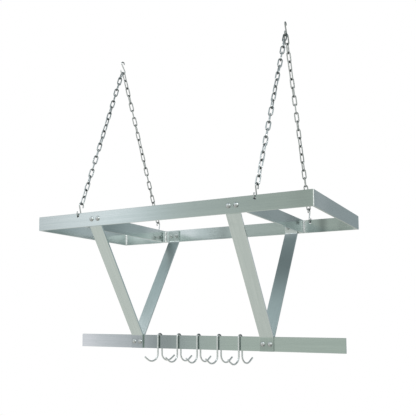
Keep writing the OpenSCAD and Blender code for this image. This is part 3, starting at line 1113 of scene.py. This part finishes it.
@dataclass
class PotHooks:
    """Five double-prong wire hooks on the lower bar, in millimetres."""

    wire: float = 6.35
    bar_t: float = 6.35
    rest_gap: float = 0.3
    pitch: float = 84.5
    shift: float = -2.0
    turns: tuple[float, ...] = (67.0, 75.0, 77.0, 72.0, 75.0)
    leg_y: float = 6.35 * 1.482
    prong_r: float = 6.35 * 4.252
    tip: float = 6.35 * 3.386
    prong_low: float = 393.7 * 0.2464
    around: int = 14
    spacing: float = 1.5
    shade_reach: float = 6.35 * 1.25
    rise: float = math.degrees(math.atan(3 / 4))

    def path(self) -> np.ndarray:
        """The wire's middle line, from tip to tip, in the hook's own XZ plane.

        Half of it is a quarter of the arch, a leg, and a prong: an arc from straight down to past
        its lowest point, and a straight rising tip. The other half is its mirror image.

        Returns:
            The points, with the arch's middle at the origin.
        """
        leg_y, prong_r = self.leg_y, self.prong_r
        leg_l = self.prong_low - prong_r - self.drop()
        bow = arc((0.0, 0.0), leg_y, 90, -90, 24)
        leg = np.stack([np.full(20, leg_y), np.linspace(0, -leg_l, 21)[1:]], -1)
        prong = arc((leg_y + prong_r, -leg_l), prong_r, 180, 90 + self.rise, 60)[1:]
        out = np.array([math.cos(math.radians(self.rise)), math.sin(math.radians(self.rise))])
        point = prong[-1] + out * np.linspace(0, self.tip, 12)[1:, None]
        half = np.vstack([bow, leg, prong, point])
        return np.vstack([half[:0:-1] * np.array([-1, 1]), half])

    def drop(self) -> float:
        """How far the arch's middle hangs below the bar's top edge."""
        inside = self.leg_y - self.wire / 2 - self.rest_gap
        return math.sqrt(inside ** 2 - (self.bar_t / 2 / math.sin(math.radians(min(self.turns)))) ** 2)

    def build(self, finish: bpy.types.Material) -> None:
        """Makes the five hooks and replaces their CAD nodes.

        Args:
            finish: the wire's finish.
        """
        top = box("lower_bar")[1][2] / MM
        bent = BentWire(self.path(), self.wire, self.around, self.spacing)
        # Painted shade on the arch top, where the hook rests on the bar.
        skin = bent.skin(((0.0, self.leg_y),), self.shade_reach)
        for number, turn in enumerate(self.turns):
            at = np.array([(number - 2) * self.pitch + self.shift, 0.0, top - self.drop()])
            hung = skin.moved(turn_about("Z", turn), at).in_metres()
            piece_of(f"pot_hook_{number + 1}_wire", [hung], finish,
                     f"pot_hook_{number + 1}", (f"pot_hook_{number + 1}",))


@dataclass(frozen=True)
class Card:
    """A grey studio card that only reflections see, so that metal has something to show.

    Its level and slight tint are read from stops along one direction in the room.
    """

    name: str
    corner: Point
    side: Point
    up: Point
    along: Point
    reach: tuple[float, float]
    stops: tuple[tuple[float, float, Colour], ...]
    brightest: float = 2.5

    def build(self) -> bpy.types.Object:
        """Makes the card: corner + u * side + v * up for u and v from 0 to 1.

        Returns:
            The card, which the camera, diffuse light, shadows, transmission and volume scattering don't
            see.
        """
        corner, side, up = (np.array(p) for p in (self.corner, self.side, self.up))
        u, v = (g.reshape(-1, 1) for g in np.meshgrid([0.0, 1.0], [0.0, 1.0], indexing="ij"))
        points = corner + u * side + v * up
        mesh = bpy.data.meshes.new(self.name)
        mesh.from_pydata(points.tolist(), [], [(0, 1, 3, 2)])
        made, mix = material(self.name)
        sockets = {0: mix.place(), 1: self.along}
        dot = mix.node("ShaderNodeVectorMath", {"operation": "DOT_PRODUCT"}, sockets)
        start, end = self.reach
        share = (Signal(mix, dot.outputs["Value"]) - start) / (end - start)
        stops = [((at - start) / (end - start), tuple(level * part / self.brightest for part in tint))
                 for at, level, tint in self.stops]
        ramp = mix.node("ShaderNodeValToRGB", {"stops": stops}, {0: share})
        glow = mix.node("ShaderNodeEmission", None,
                        {"Color": ramp.outputs[0], "Strength": self.brightest})
        mix.node("ShaderNodeOutputMaterial", None, {"Surface": glow.outputs[0]})
        mesh.materials.append(made)
        card = shown(self.name, mesh)
        card.visible_camera = False
        card.visible_diffuse = False
        card.visible_shadow = False
        card.visible_transmission = False
        card.visible_volume_scatter = False
        return card


def wall_card(name: str, x: tuple[float, float], y: float, z: tuple[float, float],
              stops: tuple[tuple[float, float, Colour], ...]) -> Card:
    """A card that stands across the room between two x and two z, with its stops along X."""
    side, up = (x[1] - x[0], 0.0, 0.0), (0.0, 0.0, z[1] - z[0])
    return Card(name, (x[0], y, z[0]), side, up, (1.0, 0.0, 0.0), x, stops)


@dataclass(frozen=True)
class Viewpoint:
    """Where the photograph was taken from, in the rack's frame."""

    place: Point = (1.03315, -1.90481, -1.03256)
    yaw: float = 27.58
    pitch: float = 5.01
    roll: float = -0.25
    focal_px: float = 580.93
    axis_px_down: float = 261.27
    clip: tuple[float, float] = (0.05, 60.0)

    def build(self) -> None:
        """Makes the camera and the scene's own view of it."""
        yaw, pitch, roll = (math.radians(a) for a in (self.yaw, self.pitch, self.roll))
        flat = math.cos(pitch)
        ahead = Vector((-math.sin(yaw) * flat, math.cos(yaw) * flat, math.sin(pitch)))
        level = Vector((math.cos(yaw), math.sin(yaw), 0.0))
        above = level.cross(ahead)
        right = level * math.cos(roll) + above * math.sin(roll)
        up = above * math.cos(roll) - level * math.sin(roll)
        data = bpy.data.cameras.new("photo_camera")
        data.sensor_fit = "HORIZONTAL"
        data.sensor_width = SENSOR_MM
        data.lens = self.focal_px * SENSOR_MM / FRAME_PX
        data.shift_y = (self.axis_px_down - FRAME_PX / 2) / FRAME_PX
        data.clip_start, data.clip_end = self.clip
        camera = shown("photo_camera", data)
        turn = Matrix((right, up, -ahead)).transposed().to_4x4()
        camera.matrix_world = Matrix.Translation(self.place) @ turn
        bpy.context.scene.camera = camera


@dataclass
class Studio:
    """A pale floor below the rack, an even white room, two soft lamps and grey cards."""

    floor_z: float = -2.20
    floor_r: float = 3.4
    floor_rings: int = 24
    floor_turns: int = 96
    hub_r: float = 0.02
    pale: Colour = (0.90, 0.90, 0.90)
    speck: float = 0.02
    speck_tone: float = 0.97
    floor_rough: float = 0.75
    room: float = 0.80
    aim: Point = (0.0, 0.0, -0.8)
    cards: tuple[Card, ...] = field(default_factory=lambda: (
        wall_card("upper_front_card", (-6.0, 5.5), -3.3, (-0.72, 1.38), (
            (-4.0, 0.90, COOL), (-2.8, 1.45, COOL), (-2.3, 1.50, COOL), (-2.0, 1.05, BLUE),
            (-1.7, 0.85, GREY), (-0.4, 0.70, GREEN), (1.2, 1.00, GREY), (1.8, 1.80, PLAIN),
            (4.0, 0.90, PLAIN))),
        wall_card("lower_front_card", (-6.0, 5.5), -3.3, (-2.15, -0.72), (
            (-3.2, 1.25, LILAC), (-2.7, 0.95, LILAC), (-2.25, 0.55, BLUE), (-1.9, 0.75, GREY),
            (-1.5, 0.85, GREEN), (1.5, 0.85, GREEN))),
        Card("top_card", (-4.5, -3.6, 1.5), (8.5, 0.0, 0.0), (0.0, 7.8, 0.0), (-0.35, -1.0, 0.0),
             (-5.0, 3.6), (
            (-4.0, 0.50, BLUE), (0.5, 0.38, DEEP), (0.85, 0.35, DEEP), (1.0, 0.55, DEEP),
            (1.45, 0.85, DEEP), (2.0, 1.55, BLUE), (3.0, 1.40, BLUE))),
        wall_card("back_card", (-0.2, 6.3), 4.0, (-2.1, 1.5), (
            (-0.2, 0.80, DEEP), (1.4, 0.43, DEEP), (1.8, 0.53, BLUE), (2.0, 0.45, DEEP),
            (2.35, 0.78, BLUE), (2.8, 0.60, DEEP), (4.5, 0.65, BLUE))),
        wall_card("low_back_card", (-7.0, -0.2), 4.0, (-2.15, -0.80), (
            (-6.0, 0.60, BLUE), (-0.5, 0.52, GREEN))),
        Card("floor_card", (-3.2, -3.2, -2.18), (6.4, 0.0, 0.0), (0.0, 6.4, 0.0), (1.0, 0.0, 0.0),
             (-3.2, 3.2), (
            (-2.0, 1.12, WARM), (0.1, 1.00, WARM), (0.6, 0.45, GREY), (3.0, 0.40, GREY))),
        Card("right_card", (5.0, -3.2, -2.15), (0.0, 6.7, 0.0), (0.0, 0.0, 1.7), (0.0, 1.0, 0.0),
             (-3.2, 3.5), ((-3.2, 0.45, GREY), (3.5, 0.45, GREY))),
    ))

    def room_light(self) -> None:
        """Lights the room evenly, and shows it plain white to the eye, in metal and through glass."""
        world = bpy.data.worlds.new("white_room")
        world.use_nodes = True
        bpy.context.scene.world = world
        mix = Recipe(world.node_tree)
        rays = mix.node("ShaderNodeLightPath").outputs
        seen = Signal(mix, rays["Is Camera Ray"]).most(Signal(mix, rays["Is Glossy Ray"]))
        seen = seen.most(Signal(mix, rays["Is Transmission Ray"]))
        strength = seen * (1 - self.room) + self.room
        sky = mix.node("ShaderNodeBackground", None, {"Color": (1.0, 1.0, 1.0), "Strength": strength})
        mix.node("ShaderNodeOutputWorld", None, {"Surface": sky.outputs[0]})

    def lamp(self, name: str, place: Point, size: float, power: float, mirrored: bool) -> None:
        """Adds one square soft lamp.

        Args:
            name: its name.
            place: where it stands. It faces aim.
            size: its side.
            power: its power in watts.
            mirrored: whether metal shows the lamp itself.
        """
        data = bpy.data.lights.new(name, "AREA")
        data.shape = "SQUARE"
        data.size = size
        data.energy = power
        made = shown(name, data)
        made.location = place
        way = Vector(self.aim) - Vector(place)
        made.rotation_euler = way.to_track_quat("-Z", "Y").to_euler()
        made.visible_glossy = mirrored

    def floor(self) -> None:
        """Makes the round pale floor: rings at radius r, turned through the angle a, at floor_z."""
        radius = np.linspace(self.hub_r, self.floor_r, self.floor_rings)[:, None]
        angle = np.linspace(0, 2 * math.pi, self.floor_turns, endpoint=False)[None, :]
        rings = np.stack([radius * np.cos(angle), radius * np.sin(angle),
                          np.full((self.floor_rings, self.floor_turns), self.floor_z)], -1)
        ring, spot = np.meshgrid(np.arange(self.floor_rings - 1), np.arange(self.floor_turns),
                                 indexing="ij")
        a = ring * self.floor_turns + spot
        b = ring * self.floor_turns + (spot + 1) % self.floor_turns
        faces = np.stack([a, a + self.floor_turns, b + self.floor_turns, b], -1).reshape(-1, 4).tolist()
        faces.append(list(range(self.floor_turns)))
        mesh = bpy.data.meshes.new("studio_floor")
        mesh.from_pydata(rings.reshape(-1, 3).tolist(), [], faces)
        made, mix = material("studio_floor")
        speck = mix.cloud(self.speck, 3.0, 0.5)
        colour = mix.blend(self.pale, tuple(c * self.speck_tone for c in self.pale), speck)
        sockets = {"Base Color": colour, "Roughness": self.floor_rough}
        shader = mix.node("ShaderNodeBsdfPrincipled", None, sockets)
        mix.node("ShaderNodeOutputMaterial", None, {"Surface": shader.outputs[0]})
        mesh.materials.append(made)
        shown("studio_floor", mesh)

    def build(self) -> None:
        """Makes the room, the lamps, the floor and the cards."""
        self.room_light()
        self.lamp("soft_left", (-2.9, -3.1, 0.6), size=1.6, power=60.0, mirrored=False)
        self.lamp("small_right", (1.7, -2.2, 1.3), size=0.6, power=14.0, mirrored=True)
        self.floor()
        for card in self.cards:
            card.build()
        bpy.context.scene.view_settings.view_transform = "Standard"


def plated_wires(kind: str, tones: dict[str, float], **finish: Any) -> list[bpy.types.Material]:
    """Makes one wire for each name, each a little cooler than a plain grey of its tone."""
    return [DrawnWire(f"{name}_{kind}_wire", (tone, tone + 0.03, tone + 0.02), **finish).build()
            for name, tone in tones.items()]


def plain(corners: Any) -> list[list[float]]:
    """A box's two corners as lists of numbers."""
    return [[float(c) for c in corner] for corner in corners]


def main() -> None:
    """Builds the scene in order and reports each piece."""
    logging.basicConfig(level=logging.INFO, format="%(name)s: %(message)s")
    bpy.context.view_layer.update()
    Viewpoint().build()
    LOG.info("camera placed")
    Studio().build()
    LOG.info("studio built")
    Frame().dress()
    LOG.info("frame brushed")
    Welds().build(WeldMetal().build())
    LOG.info("weld beads laid")
    LowerRig().dress()
    LOG.info("straps and lower bar brushed")
    Fasteners().dress()
    LOG.info("fasteners plated")
    # The chains and hooks are one plating, made lighter or darker from corner to corner as painted light
    # and shade.
    links = plated_wires("chain", dict(zip(CORNERS, (0.52, 0.49, 0.72, 0.49))), rough=0.20,
                         grimy=(0.055, 0.068, 0.068), cloud_size=0.008, clouding=0.6, contact=0.95)
    hooks: dict[str, Any] = {"rough": 0.18, "grimy": (0.07, 0.085, 0.085), "cloud_size": 0.007,
                             "contact": 0.85}
    feet = plated_wires("hook", dict(zip(CORNERS, (0.50, 0.54, 0.42, 0.34))), **hooks)
    tops = plated_wires("top", {"left": 0.52, "right": 0.31}, **hooks)
    Chains().build(links, feet, tops)
    LOG.info("chains and their hooks hung")
    PotHooks().build(DrawnWire("pot_hook_wire", clean=(0.62, 0.66, 0.65), grimy=(0.10, 0.12, 0.12),
                               rough=0.27, cloud_size=0.007, contact=0.8).build())
    LOG.info("pot hooks hung")


if __name__ == "__main__":
    main()
